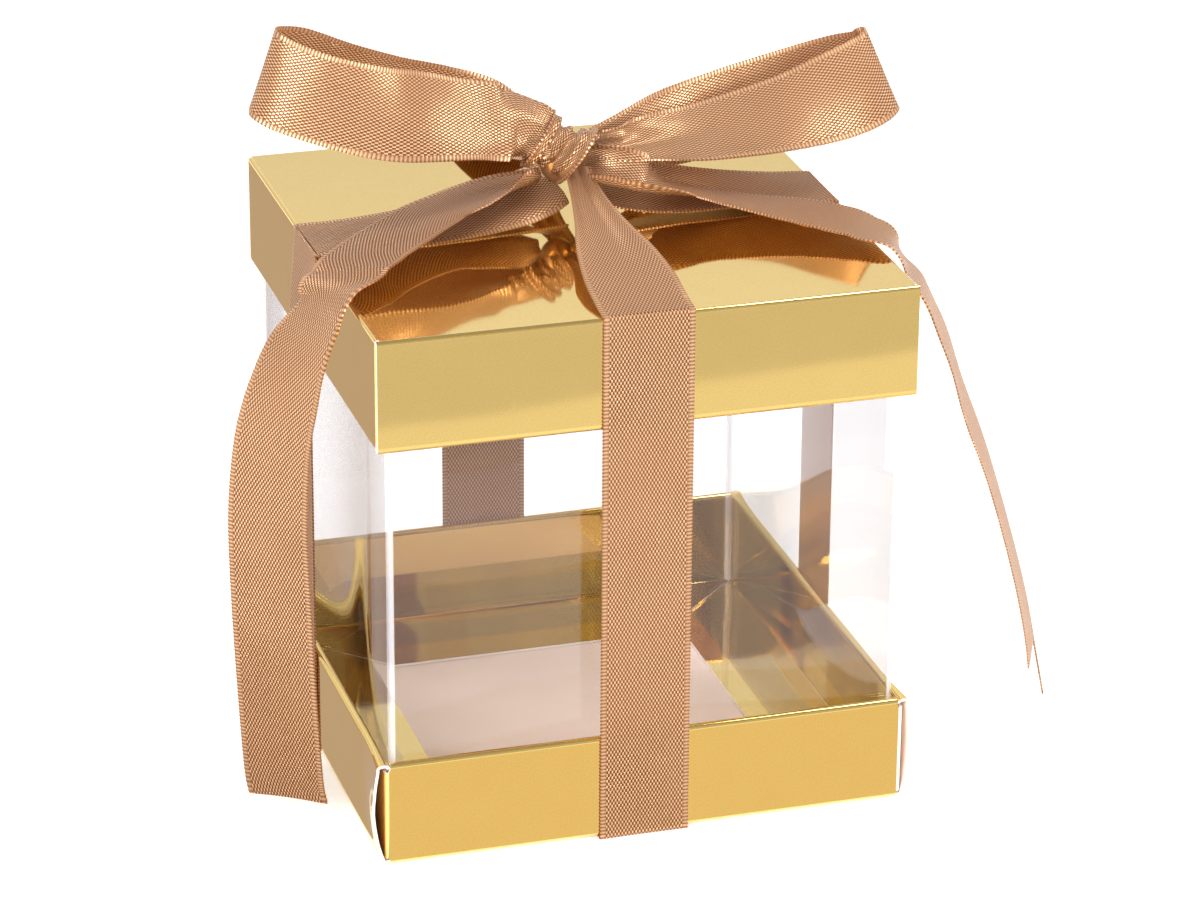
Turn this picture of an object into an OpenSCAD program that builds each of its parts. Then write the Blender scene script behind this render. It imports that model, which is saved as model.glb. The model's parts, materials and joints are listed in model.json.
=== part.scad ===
// Favor box: a foil-board base tray and lid, joined by a clear sleeve and tied with satin ribbon.
// The origin is the middle of the footprint on the table, +Z is up and -Y is the front.

/* [Box] */
// Width of the box from left to right
box_w = 60; // [50:1:90]
// Depth of the box from front to back
box_d = 60; // [50:1:90]
// Height from the table to the top of the lid
box_h = 61.4; // [50:0.5:110]

/* [Folded board] */
// Thickness of the foil-faced board
board_t = 0.3; // [0.25:0.05:0.4]
// Slack between two layers of folded board
layer_gap = 0.05; // [0.04:0.01:0.08]
// Height of the base's walls
base_h = 12; // [10:0.1:16]
// Height of the lid's walls
lid_h = 12.7; // [10:0.1:16]
// Width of the glued flaps that end the front and back walls inside
end_flap_w = 12.4; // [8:0.1:14]
// Width of the glued flaps that end the side walls inside
side_flap_w = 10.2; // [8:0.1:14]
// Length of the tabs that join the corners
tab_len = 11; // [8:0.5:14]
// How far the free ends of the base's side walls spring outwards
corner_bulge = 1.1; // [0:0.1:1.3]
// Length of wall over which a free end springs
bulge_run = 9; // [6:1:12]

/* [Clear sleeve] */
// Thickness of the clear sheet
sheet_t = 0.25; // [0.2:0.05:0.3]
// Clearance between the sleeve and the walls around it
sleeve_gap = 0.2; // [0.15:0.05:0.4]
// How far the middle of each pane bows inwards
sleeve_bow = 1.8; // [0.5:0.1:2.5]
// Radius of the sleeve's vertical folds
fold_r = 0.6; // [0.4:0.1:1]
// Width of the hems folded in along the bottom edge
hem_w = 6; // [4:0.5:8]
// Width of the glued overlap that closes the sleeve
seam_w = 7; // [5:0.5:9]

/* [Ribbon] */
// Width of the ribbon
ribbon_w = 10; // [8:0.5:12]
// Thickness of the ribbon
ribbon_t = 0.2; // [0.15:0.05:0.3]
// Place of the front band, to the right of the middle
front_band_x = -0.4; // [-2:0.1:2]
// Place of the back band, to the right of the middle
back_band_x = -2; // [-3:0.1:3]
// Place of the left band, behind the middle
left_band_y = 0.8; // [-2:0.1:2]
// Place of the right band, behind the middle
right_band_y = 2; // [-2:0.1:3]

/* [Bow] */
// Height of the knot's middle above the lid
knot_lift = 7.1; // [6.5:0.1:9]
// Radius of the knot
knot_r = 3.3; // [3:0.1:3.6]
// Place of the knot behind the middle of the lid
knot_y = 1.5; // [0:0.1:2]
// Reach of a loop from the knot
loop_reach = 34.5; // [28:0.5:40]
// Distance between a loop's two strands
loop_open = 8.5; // [7:0.5:11]
// Rise of the left loop above the knot
left_rise = 12.7; // [8:0.1:16]
// Rise of the right loop above the knot
right_rise = 7; // [4:0.1:10]

/* [Hidden] */

gold = [0.85, 0.71, 0.42];
bare_board = [0.86, 0.78, 0.74];
clear = [0.9, 0.93, 0.97, 0.35];
satin = [0.74, 0.56, 0.42];

// The ribbon crosses itself under the box, so the tray stands on two layers of it
base_z = 2 * ribbon_t;
base_rim = base_z + base_h;
lid_rim = box_h - lid_h;

// Layers of a folded wall, counted inwards from its outer face
layer_step = board_t + layer_gap;
roll_r = layer_step;
inner_face = board_t + 2 * roll_r;
crease_r = board_t;
flap_z = board_t + layer_gap + board_t / 2;
corner_r = layer_step;

// Sleeve, between the flaps of the base and of the lid
seat_gap = layer_gap;
sleeve_bottom = base_z + 2 * board_t + layer_gap + seat_gap;
sleeve_top = box_h - 2 * board_t - layer_gap - seat_gap;
sleeve_half_w = box_w / 2 - inner_face - sleeve_gap;
sleeve_half_d = box_d / 2 - inner_face - sleeve_gap;

// The bands change from base to lid half way up the open sleeve
band_split = (base_rim + lid_rim) / 2;
band_gap = ribbon_t / 4;
knot_z = box_h + knot_lift;

// Steps of the curves
arc_steps = 3;
roll_steps = 5;
bow_steps = 12;
loop_steps = 3;
tail_steps = 2;
loop_columns = 5;
tail_columns = 4;

// Stations across a wall whose free ends spring outwards, as shares of its half length
sprung_shares = [-1, -0.93, -0.85, -0.7, 0.7, 0.85, 0.93, 1];
straight_shares = [-1, 1];
// Heights on a wall's outer panel, then how far it springs outwards there, as shares
panel_shares = [[0.25, 0.68], [0.5, 1], [0.75, 0.84]];
rim_spring_share = 0.5;
// Sideways place, depth and rise as shares; then roll and curl in degrees, and width as a share
left_loop_shares = [
    [-0.081, -0.09, 0.155, 0, 140, 0.38],
    [-0.16, -0.17, 0.33, 0, 125, 0.64],
    [-0.225, -0.23, 0.395, 0, 90, 0.86],
    [-0.315, -0.29, 0.445, 0, 30, 0.97],
    [-0.457, -0.34, 0.515, 0, 5, 1],
    [-0.633, -0.36, 0.61, -2, 0, 1],
    [-0.813, -0.31, 0.755, -5, 0, 1],
    [-0.935, -0.14, 0.875, 4, 0, 1],
    [-0.992, 0.1, 0.955, 14, 0, 1],
    [-0.977, 0.36, 0.97, 19, 0, 1],
    [-0.891, 0.57, 0.925, 25, 0, 1],
    [-0.738, 0.69, 0.755, 28, 0, 1],
    [-0.574, 0.72, 0.585, 25, 0, 1],
    [-0.416, 0.66, 0.45, 18, 0, 1],
    [-0.231, 0.5, 0.28, 5, 60, 0.85],
    [-0.1, 0.3, 0.14, 0, 120, 0.4]];
right_loop_shares = [
    [0.1, 0.04, 0.18, 0, -145, 0.36],
    [0.165, -0.03, 0.145, 6, -130, 0.48],
    [0.265, -0.12, 0.15, 20, -95, 0.58],
    [0.391, -0.19, 0.18, 27, -55, 0.76],
    [0.549, -0.21, 0.235, 30, -25, 0.94],
    [0.733, -0.15, 0.36, 20, -5, 1],
    [0.913, -0.04, 0.55, 5, 0, 1],
    [1.035, 0.13, 0.715, -10, 0, 1],
    [1.1, 0.38, 0.8, -22, 0, 1],
    [1.085, 0.67, 0.73, -22, 0, 1],
    [0.985, 0.84, 0.6, -14, 0, 1],
    [0.795, 0.92, 0.32, -4, 0, 1],
    [0.563, 0.88, 0.06, 0, 0, 1],
    [0.339, 0.68, -0.1, 0, -60, 0.9],
    [0.17, 0.42, -0.03, 0, -120, 0.5],
    [0.1, 0.3, 0, 0, -140, 0.36]];
// Tails and risers: x and y are shares of the box's half width and half depth,
// z is a share of the knot's lift above the lid, or below zero a share of the box's height
left_tail_shares = [
    [-0.115, 0.07, 0.64, 20, 145, 0.44],
    [-0.165, 0.065, 0.6, 18, 120, 0.7],
    [-0.261, 0.054, 0.525, 10, 60, 0.92],
    [-0.4, 0.02, 0.44, 6, 20, 1],
    [-0.532, -0.02, 0.347, 5, 10, 1],
    [-0.686, -0.12, 0.275, 5, 0, 1],
    [-0.844, -0.24, 0.215, 6, 0, 1],
    [-0.944, -0.335, 0.16, 8, 0, 1],
    [-1.037, -0.415, 0.03, 6, 0, 1],
    [-1.101, -0.455, -0.037, -1, 0, 1],
    [-1.151, -0.475, -0.076, -10, 0, 1],
    [-1.191, -0.48, -0.122, -19, 0, 1],
    [-1.221, -0.478, -0.176, -28, 0, 1],
    [-1.244, -0.473, -0.225, -33, 0, 1],
    [-1.265, -0.467, -0.3, -39, 0, 1],
    [-1.278, -0.46, -0.424, -43, 0, 1],
    [-1.273, -0.465, -0.561, -46, 0, 1],
    [-1.263, -0.48, -0.728, -46, 0, 1],
    [-1.245, -0.49, -0.911, -46, 0, 1],
    [-1.229, -0.5, -0.97, -46, 0, 1]];
right_tail_shares = [
    [0.105, -0.03, 0.95, 42, -145, 0.4],
    [0.155, -0.08, 0.88, 25, -130, 0.58],
    [0.22, -0.115, 0.745, 8, -100, 0.78],
    [0.31, -0.125, 0.6, -5, -50, 0.93],
    [0.4, -0.125, 0.485, -9, -10, 1],
    [0.496, -0.15, 0.4, -9, 0, 1],
    [0.595, -0.195, 0.335, -8, 0, 1],
    [0.69, -0.245, 0.29, -6, 0, 1],
    [0.79, -0.305, 0.255, -3, 0, 1],
    [0.88, -0.37, 0.215, 0, 0, 1],
    [0.975, -0.445, 0.13, 1, 0, 1],
    [1.055, -0.52, -0.004, 2, 0, 1],
    [1.11, -0.575, -0.045, 4, 0, 1],
    [1.16, -0.62, -0.085, 8, 0, 1],
    [1.205, -0.65, -0.14, 11, 0, 1],
    [1.252, -0.665, -0.2, 13, 0, 1],
    [1.313, -0.667, -0.296, 14, 0, 1],
    [1.417, -0.667, -0.43, 14, 0, 1],
    [1.527, -0.667, -0.606, 14, 0, 1],
    [1.598, -0.667, -0.745, 18, 0, 1],
    [1.645, -0.667, -0.865, 24, 0, 1]];
// Risers: the share of the way from the lid's edge to the knot, the rise as a share of the lift,
// then roll, curl and width as above
front_riser_shares = [
    [0, 0.027, 0, 0, 1],
    [0.09, 0.08, 0, 0, 1],
    [0.26, 0.19, 0, 30, 1],
    [0.46, 0.31, 0, 65, 0.93],
    [0.66, 0.41, 0, 100, 0.76],
    [0.84, 0.47, 0, 130, 0.54],
    [1, 0.5, 0, 140, 0.38]];
left_riser_shares = [
    [0, 0.027, 0, 0, 1],
    [0.2, 0.03, 0, 0, 1],
    [0.45, 0.07, 0, 10, 1],
    [0.68, 0.15, 0, 50, 0.95],
    [0.86, 0.25, 0, 100, 0.7],
    [1, 0.32, 0, 130, 0.4]];
right_riser_shares = [
    [0, 0.027, 0, 0, 1],
    [0.2, 0.06, 0, 0, 1],
    [0.45, 0.18, 0, 10, 1],
    [0.68, 0.3, 0, 50, 0.95],
    [0.86, 0.38, 0, 110, 0.68],
    [1, 0.42, 0, 140, 0.4]];

function unit(v) = v / norm(v);
function column(rows, k) = [for (r = rows) r[k]];
function arc(centre, r, from, to, steps) =
    [for (i = [0:steps]) let (a = from + (to - from) * i / steps) centre + r * [cos(a), sin(a)]];

// Smooth curve through rows of numbers
function row_at(rows, i) = let (n = len(rows))
    i < 0 ? 2 * rows[0] - rows[1] : i >= n ? 2 * rows[n - 1] - rows[n - 2] : rows[i];
function between(a, b, c, d, u) =
    (2 * b + (c - a) * u + (2 * a - 5 * b + 4 * c - d) * u * u + (3 * b - a - 3 * c + d) * u * u * u) / 2;
function smooth(rows, steps) = concat(
    [for (i = [0:len(rows) - 2], k = [0:steps - 1])
        between(row_at(rows, i - 1), rows[i], rows[i + 1], row_at(rows, i + 2), k / steps)],
    [rows[len(rows) - 1]]);

// Direction of a row of points at one of them
function slope(p, i) = let (n = len(p)) n == 2 ? p[1] - p[0] :
    i == 0 ? 4 * p[1] - 3 * p[0] - p[2] :
    i == n - 1 ? 3 * p[i] - 4 * p[i - 1] + p[i - 2] : p[i + 1] - p[i - 1];

// A thin solid around a grid of points on its middle surface
module sheet(grid, t) {
    n = len(grid);
    m = len(grid[0]);
    lengthwise = [for (j = [0:m - 1]) let (line = column(grid, j)) [for (i = [0:n - 1]) slope(line, i)]];
    normals = [for (i = [0:n - 1]) [for (j = [0:m - 1])
        unit(cross(lengthwise[j][i], slope(grid[i], j)))]];
    points = [for (side = [1, -1], i = [0:n - 1], j = [0:m - 1])
        grid[i][j] + normals[i][j] * side * t / 2];
    function id(side, i, j) = (side * n + i) * m + j;
    function quad(a, b, c, d) = [[a, b, c], [a, c, d]];
    faces = [for (f = concat(
        [for (i = [0:n - 2], j = [0:m - 2])
            quad(id(0, i, j), id(0, i, j + 1), id(0, i + 1, j + 1), id(0, i + 1, j))],
        [for (i = [0:n - 2], j = [0:m - 2])
            quad(id(1, i, j), id(1, i + 1, j), id(1, i + 1, j + 1), id(1, i, j + 1))],
        [for (i = [0:n - 2])
            quad(id(0, i, 0), id(0, i + 1, 0), id(1, i + 1, 0), id(1, i, 0))],
        [for (i = [0:n - 2])
            quad(id(0, i, m - 1), id(1, i, m - 1), id(1, i + 1, m - 1), id(0, i + 1, m - 1))],
        [for (j = [0:m - 2])
            quad(id(0, 0, j), id(1, 0, j), id(1, 0, j + 1), id(0, 0, j + 1))],
        [for (j = [0:m - 2])
            quad(id(0, n - 1, j), id(0, n - 1, j + 1), id(1, n - 1, j + 1), id(1, n - 1, j))]))
        each f];
    polyhedron(points, faces);
}

// Outline of a strip of thickness t along a flat path
function strip_outline(path, t) = let (n = len(path),
    side = [for (i = [0:n - 1]) let (d = unit(slope(path, i))) [-d[1], d[0]]])
    concat([for (i = [0:n - 1]) path[i] + side[i] * t / 2],
        [for (i = [n - 1:-1:0]) path[i] - side[i] * t / 2]);

// Folded wall
// Rows of a wall's section: distance inwards, height, half length and spring share. The board
// rises from the floor's crease, rolls over the rim, comes down inside and ends in a floor flap.
function wall_rows(h, half, flap_w, capped) = let (
    outer_end = capped ? half - layer_gap : half - layer_step - board_t / 2 - corner_r,
    rim_end = capped ? half - layer_gap : half - inner_face - layer_gap,
    inner_end = half - inner_face - layer_gap,
    low = board_t / 2 + crease_r,
    high = h - board_t / 2 - roll_r)
    concat(
        [for (p = arc([crease_r, low], crease_r, 270, 180, arc_steps)) [p[0], p[1], outer_end, 0]],
        [for (s = panel_shares) [0, low + (high - low) * s[0], outer_end, s[1]]],
        [[0, high - corner_r, outer_end, rim_spring_share]],
        [for (p = arc([roll_r, high], roll_r, 180, 0, roll_steps))
            [p[0], p[1], rim_end, rim_spring_share * (1 - p[0] / (2 * roll_r))]],
        [[2 * roll_r, high - corner_r, inner_end, 0]],
        [for (p = arc([2 * roll_r + crease_r, flap_z + crease_r], crease_r, 180, 270, arc_steps))
            [p[0], p[1], inner_end - (p[0] - 2 * roll_r), 0]],
        [[2 * roll_r + flap_w, flap_z, inner_end - flap_w, 0]]);

function spring_at(share, half) = let (u = max(0, 1 - (1 - abs(share)) * half / bulge_run)) u * u;

module folded_wall(h, half, offset_y, flap_w, capped = false, bulge = 0) {
    rows = wall_rows(h, half, flap_w, capped);
    shares = bulge > 0 ? sprung_shares : straight_shares;
    sheet([for (r = rows) [for (s = shares)
        [s * r[2], -(offset_y - board_t / 2) + r[0] - bulge * r[3] * spring_at(s, half), r[1]]]],
        board_t);
}

// Tab that a tabbed wall turns into at its right end, inside its neighbour's double wall
module corner_tab(h, half, offset_y) {
    low = 2 * board_t + layer_gap;
    high = h - board_t - 2 * roll_r;
    x = half - layer_step - board_t / 2;
    y = -(offset_y - board_t / 2);
    taper = tab_len / 4;
    path = concat(
        [for (p = arc([x - corner_r, y + corner_r], corner_r, 270, 360, arc_steps)) [p[0], p[1], 0]],
        [[x, y + corner_r + tab_len / 2, 0], [x, y + corner_r + tab_len, taper]]);
    sheet([for (p = path) [[p[0], p[1], low + p[2]], [p[0], p[1], high - p[2]]]], board_t);
}

// Places on the base, and the same upside down on the lid
module turned(k) {
    rotate([0, 0, 90 * k]) children();
}
module on_base() {
    translate([0, 0, base_z]) children();
}
module on_lid() {
    translate([0, 0, box_h]) rotate([180, 0, 0]) children();
}
module panel_sheet() {
    inset = board_t / 2 + crease_r;
    linear_extrude(board_t) square([box_w - 2 * inset, box_d - 2 * inset], center = true);
}
module tab_set(h, half, offset_y) {
    for (k = [0, 2]) turned(k) {
        corner_tab(h, half, offset_y);
        mirror([1, 0, 0]) corner_tab(h, half, offset_y);
    }
}

module base_floor() color(bare_board) on_base() panel_sheet();
module base_front_wall() color(gold) on_base()
    folded_wall(base_h, box_w / 2, box_d / 2, end_flap_w);
module base_back_wall() color(gold) on_base() turned(2)
    folded_wall(base_h, box_w / 2, box_d / 2, end_flap_w);
module base_left_wall() color(gold) on_base() turned(3)
    folded_wall(base_h, box_d / 2, box_w / 2, side_flap_w, true, corner_bulge);
module base_right_wall() color(gold) on_base() turned(1)
    folded_wall(base_h, box_d / 2, box_w / 2, side_flap_w, true, corner_bulge);
module base_corner_tabs() color(gold) on_base() tab_set(base_h, box_w / 2, box_d / 2);

module lid_top() color(gold) on_lid() panel_sheet();
module lid_front_wall() color(gold) on_lid() turned(2)
    folded_wall(lid_h, box_w / 2, box_d / 2, end_flap_w, true);
module lid_back_wall() color(gold) on_lid()
    folded_wall(lid_h, box_w / 2, box_d / 2, end_flap_w, true);
module lid_left_wall() color(gold) on_lid() turned(3)
    folded_wall(lid_h, box_d / 2, box_w / 2, side_flap_w);
module lid_right_wall() color(gold) on_lid() turned(1)
    folded_wall(lid_h, box_d / 2, box_w / 2, side_flap_w);
module lid_corner_tabs() color(gold) on_lid() turned(1) tab_set(lid_h, box_d / 2, box_w / 2);

// Clear sleeve
// A pane's plan, from the middle of one fold to the middle of the next
function bow_in(share) = sleeve_bow * (1 + cos(180 * share)) / 2;
function pane_path(half, offset_y) = let (
    x = half - sheet_t / 2 - fold_r,
    y = -(offset_y - sheet_t / 2))
    concat(
        arc([-x, y + fold_r], fold_r, 225, 270, arc_steps),
        [for (i = [1:bow_steps - 1]) let (s = 2 * i / bow_steps - 1) [s * x, y + bow_in(s)]],
        arc([x, y + fold_r], fold_r, 270, 315, arc_steps));

module pane(half, offset_y) {
    translate([0, 0, sleeve_bottom]) linear_extrude(sleeve_top - sleeve_bottom)
        polygon(strip_outline(pane_path(half, offset_y), sheet_t));
}
// Hem folded in along a pane's bottom edge, mitred to its neighbours
module hem(half, offset_y) {
    x = half - sheet_t - fold_r;
    y = -(offset_y - sheet_t - layer_gap);
    outer = [for (i = [0:bow_steps]) let (s = 2 * i / bow_steps - 1) [s * x, y + bow_in(s)]];
    inner_x = x - hem_w - 2 * layer_gap;
    inner_y = y + hem_w + fold_r;
    inner = [[inner_x, inner_y], [-inner_x, inner_y]];
    translate([0, 0, sleeve_bottom]) linear_extrude(sheet_t) polygon(concat(outer, inner));
}
// Overlap glued inside the left pane at its back end
module glue_tab(half, offset_y) {
    x = half - sheet_t / 2 - fold_r;
    y = -(offset_y - sheet_t / 2);
    step_in = sheet_t + layer_gap;
    path = [for (i = [0:arc_steps]) let (s = -1 + seam_w / x * i / arc_steps)
        [s * x, y + bow_in(s) + step_in]];
    translate([0, 0, sleeve_bottom + sheet_t])
        linear_extrude(sleeve_top - sleeve_bottom - sheet_t) polygon(strip_outline(path, sheet_t));
}

module sleeve_front_pane() color(clear) pane(sleeve_half_w, sleeve_half_d);
module sleeve_back_pane() color(clear) turned(2) pane(sleeve_half_w, sleeve_half_d);
module sleeve_left_pane() color(clear) turned(3) pane(sleeve_half_d, sleeve_half_w);
module sleeve_right_pane() color(clear) turned(1) pane(sleeve_half_d, sleeve_half_w);
module sleeve_bottom_hems() color(clear) {
    for (k = [0, 2]) turned(k) hem(sleeve_half_w, sleeve_half_d);
    for (k = [1, 3]) turned(k) hem(sleeve_half_d, sleeve_half_w);
}
module sleeve_glue_tab() color(clear) turned(3) glue_tab(sleeve_half_d, sleeve_half_w);

// Ribbon
// Rows hold a point, then the roll, the curl across the width in degrees and the width's share
module ribbon(rows, reference, steps, columns) {
    q = smooth(rows, steps);
    n = len(q);
    centre = [for (r = q) [r[0], r[1], r[2]]];
    sheet([for (i = [0:n - 1]) let (
        along = unit(slope(centre, i)),
        up = unit(reference - along * (reference * along)),
        across = up * cos(q[i][3]) + cross(along, up) * sin(q[i][3]),
        out = cross(along, across) * (q[i][4] < 0 ? -1 : 1),
        curl = max(abs(q[i][4]), 1),
        r = ribbon_w * q[i][5] * 180 / (curl * PI),
        middle = sin(curl / 2) * 360 / (curl * PI))
        [for (j = [0:columns - 1]) let (a = (j / (columns - 1) - 0.5) * curl)
            centre[i] + across * r * sin(a) + out * r * (cos(a) - middle)]], ribbon_t);
}
// A flat band whose path is given as distance outwards and height
module band(path, place, offset_y) {
    sheet([for (p = path) [for (s = [-1, 1])
        [place + s * ribbon_w / 2, -offset_y - p[0], p[1]]]], ribbon_t);
}
module lower_band(place, offset_y) {
    face = band_gap + ribbon_t / 2;
    turn = arc([0, ribbon_t / 2 + face], face, 270, 360, arc_steps);
    band(concat(turn, [[face, base_rim], [face, band_split]]), place, offset_y);
}
module upper_band(place, offset_y) {
    face = band_gap + ribbon_t / 2;
    turn = arc([0, box_h], face, 0, 90, arc_steps);
    band(concat([[face, band_split], [face, lid_rim]], turn), place, offset_y);
}
// The four bands meet in a flat cross, folded double where they turn round each other
module ribbon_under_cross() color(satin) {
    half_band = ribbon_w / 2;
    linear_extrude(ribbon_t) polygon([
        [-half_band, -half_band],
        [front_band_x - half_band, -box_d / 2], [front_band_x + half_band, -box_d / 2],
        [half_band, -half_band],
        [box_w / 2, right_band_y - half_band], [box_w / 2, right_band_y + half_band],
        [half_band, half_band],
        [back_band_x + half_band, box_d / 2], [back_band_x - half_band, box_d / 2],
        [-half_band, half_band],
        [-box_w / 2, left_band_y + half_band], [-box_w / 2, left_band_y - half_band]]);
    linear_extrude(2 * ribbon_t - seat_gap) square(ribbon_w, center = true);
}
module ribbon_front_lower() color(satin) lower_band(front_band_x, box_d / 2);
module ribbon_back_lower() color(satin) turned(2) lower_band(-back_band_x, box_d / 2);
module ribbon_left_lower() color(satin) turned(3) lower_band(-left_band_y, box_w / 2);
module ribbon_right_lower() color(satin) turned(1) lower_band(right_band_y, box_w / 2);
module ribbon_front_upper() color(satin) upper_band(front_band_x, box_d / 2);
module ribbon_back_upper() color(satin) turned(2) upper_band(-back_band_x, box_d / 2);
module ribbon_left_upper() color(satin) turned(3) upper_band(-left_band_y, box_w / 2);
module ribbon_right_upper() color(satin) turned(1) upper_band(right_band_y, box_w / 2);

// A riser leaves the lid's edge squarely and drifts sideways on its way to the knot
module riser(table, edge, knot_side, sideways) {
    span = knot_side - edge;
    drift = sideways * (sideways * span);
    ribbon([for (s = table) let (p = edge + (span - drift) * s[0] + drift * s[0] * s[0])
        [p[0], p[1], box_h + s[1] * knot_lift, s[2], s[3], s[4]]],
        [sideways[0], sideways[1], 0], tail_steps, tail_columns);
}
module ribbon_front_riser() color(satin)
    riser(front_riser_shares, [front_band_x, band_gap - box_d / 2], [0, knot_y - knot_r], [1, 0]);
module ribbon_back_riser() color(satin)
    riser(front_riser_shares, [back_band_x, box_d / 2 - band_gap], [0, knot_y + knot_r], [1, 0]);
module ribbon_left_riser() color(satin)
    riser(left_riser_shares, [band_gap - box_w / 2, left_band_y], [-knot_r, knot_y], [0, 1]);
module ribbon_right_riser() color(satin)
    riser(right_riser_shares, [box_w / 2 - band_gap, right_band_y], [knot_r, knot_y], [0, 1]);

// Bow
function bow_rows(table, rise) = [for (s = table) [s[0] * loop_reach,
    knot_y + s[1] * loop_open, knot_z + s[2] * rise, s[3], s[4], s[5]]];
function tail_rows(table) = [for (s = table) [s[0] * box_w / 2, s[1] * box_d / 2,
    s[2] >= 0 ? box_h + s[2] * knot_lift : box_h * (1 + s[2]), s[3], s[4], s[5]]];

// The knot: a core with the ribbon wound round it in slanting turns
module bow_knot() color(satin) translate([0, knot_y, knot_z]) {
    wrap_r = knot_r / 4;
    turn_r = knot_r - wrap_r;
    sphere(r = turn_r, $fn = 32);
    for (side = [-1, 0, 1]) rotate([0, 90 + 18 * side, 25]) translate([0, 0, side * wrap_r * 1.5])
        rotate_extrude($fn = 32) translate([turn_r * (side == 0 ? 1 : 0.88), 0])
            circle(r = wrap_r, $fn = 16);
}
module bow_left_loop() color(satin)
    ribbon(bow_rows(left_loop_shares, left_rise), [0, 0, 1], loop_steps, loop_columns);
module bow_right_loop() color(satin)
    ribbon(bow_rows(right_loop_shares, right_rise), [0, 0, 1], loop_steps, loop_columns);
module bow_left_tail() color(satin)
    ribbon(tail_rows(left_tail_shares), [0, 1, 0], tail_steps, tail_columns);
module bow_right_tail() color(satin)
    ribbon(tail_rows(right_tail_shares), [0, 1, 0], tail_steps, tail_columns);

base_floor();
base_front_wall();
base_back_wall();
base_left_wall();
base_right_wall();
base_corner_tabs();
lid_top();
lid_front_wall();
lid_back_wall();
lid_left_wall();
lid_right_wall();
lid_corner_tabs();
sleeve_front_pane();
sleeve_back_pane();
sleeve_left_pane();
sleeve_right_pane();
sleeve_bottom_hems();
sleeve_glue_tab();
ribbon_under_cross();
ribbon_front_lower();
ribbon_back_lower();
ribbon_left_lower();
ribbon_right_lower();
ribbon_front_upper();
ribbon_back_upper();
ribbon_left_upper();
ribbon_right_upper();
ribbon_front_riser();
ribbon_back_riser();
ribbon_left_riser();
ribbon_right_riser();
bow_knot();
bow_left_loop();
bow_right_loop();
bow_left_tail();
bow_right_tail();
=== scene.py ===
import json
import math

import bmesh
import bpy
from mathutils import Matrix, Vector

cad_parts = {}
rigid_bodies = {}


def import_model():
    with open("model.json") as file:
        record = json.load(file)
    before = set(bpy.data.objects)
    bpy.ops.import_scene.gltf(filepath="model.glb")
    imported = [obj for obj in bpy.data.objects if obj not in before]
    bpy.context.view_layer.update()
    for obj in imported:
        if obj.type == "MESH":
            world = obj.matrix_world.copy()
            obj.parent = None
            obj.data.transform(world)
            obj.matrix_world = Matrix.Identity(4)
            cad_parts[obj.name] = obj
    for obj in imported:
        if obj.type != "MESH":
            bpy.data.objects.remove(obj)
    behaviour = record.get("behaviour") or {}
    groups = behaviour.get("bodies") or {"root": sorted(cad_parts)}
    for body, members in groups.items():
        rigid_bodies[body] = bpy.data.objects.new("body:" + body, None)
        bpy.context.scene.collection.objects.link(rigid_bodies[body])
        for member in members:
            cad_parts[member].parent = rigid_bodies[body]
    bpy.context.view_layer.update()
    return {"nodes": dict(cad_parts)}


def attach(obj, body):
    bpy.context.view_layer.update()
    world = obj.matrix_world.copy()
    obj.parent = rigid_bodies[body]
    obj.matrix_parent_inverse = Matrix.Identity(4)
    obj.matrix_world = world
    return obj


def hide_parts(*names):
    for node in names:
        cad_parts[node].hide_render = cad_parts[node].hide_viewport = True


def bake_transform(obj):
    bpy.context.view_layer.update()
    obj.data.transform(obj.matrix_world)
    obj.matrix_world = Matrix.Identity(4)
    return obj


for thing in list(bpy.data.objects):
    bpy.data.objects.remove(thing)
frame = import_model()
scene = bpy.context.scene
mm = 0.001
print("frame: loaded", len(frame["nodes"]), "nodes")

# the camera stands where the photograph was taken from, a little over half a metre away
view = {"place": (-141.26, -475.87, 245.86), "turn": (66.844, -0.38, -16.748), "lens": 143.36}
lensData = bpy.data.cameras.new("camera")
lensData.lens = view["lens"]
lensData.sensor_width = 36
lensData.clip_start, lensData.clip_end = 0.01, 20
camera = bpy.data.objects.new("camera", lensData)
camera.location = Vector(view["place"]) * mm
camera.rotation_euler = [math.radians(angle) for angle in view["turn"]]
scene.collection.objects.link(camera)
scene.camera = camera
scene.view_settings.view_transform = "Standard"
scene.cycles.transparent_max_bounces = 40

# the sizes that more than one piece needs, in millimetres
box = {"width": 60.0, "depth": 60.0, "height": 61.4, "baseLift": 0.4}
ribbon = {"width": 10.0, "thick": 0.2, "gap": 0.05, "step": 0.105, "picotEvery": 0.42, "picot": 0.1,
          "frontX": -0.4, "backX": -2.0, "leftY": 0.8, "rightY": 2.0, "split": 30.55, "lean": 3.6,
          "leanRun": 15}
halfW, halfD = box["width"] / 2, box["depth"] / 2


# Materials

class Wire:
    # a value on its way through a shader, so that shader maths reads as maths
    def __init__(self, finish, socket):
        self.finish, self.socket = finish, socket

    def step(self, operation, *values):
        return self.finish.out("ShaderNodeMath", {"operation": operation}, dict(enumerate(values)))

    def __add__(self, other):
        return self.step("ADD", self, other)

    def __sub__(self, other):
        return self.step("SUBTRACT", self, other)

    def __rsub__(self, other):
        return self.step("SUBTRACT", other, self)

    def __mul__(self, other):
        return self.step("MULTIPLY", self, other)

    def __pow__(self, other):
        return self.step("POWER", self, other)

    __radd__, __rmul__ = __add__, __mul__

    def sine(self):
        return self.step("SINE", self)

    def size(self):
        return self.step("ABSOLUTE", self)

    def most(self, other):
        return self.step("MINIMUM", self, other)

    def rise(self, low, high):
        # 0 below low, 1 above high, smooth between them
        return self.finish.out("ShaderNodeMapRange", {"interpolation_type": "SMOOTHSTEP", "clamp": True},
                               {"Value": self, "From Min": low, "From Max": high})


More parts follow.
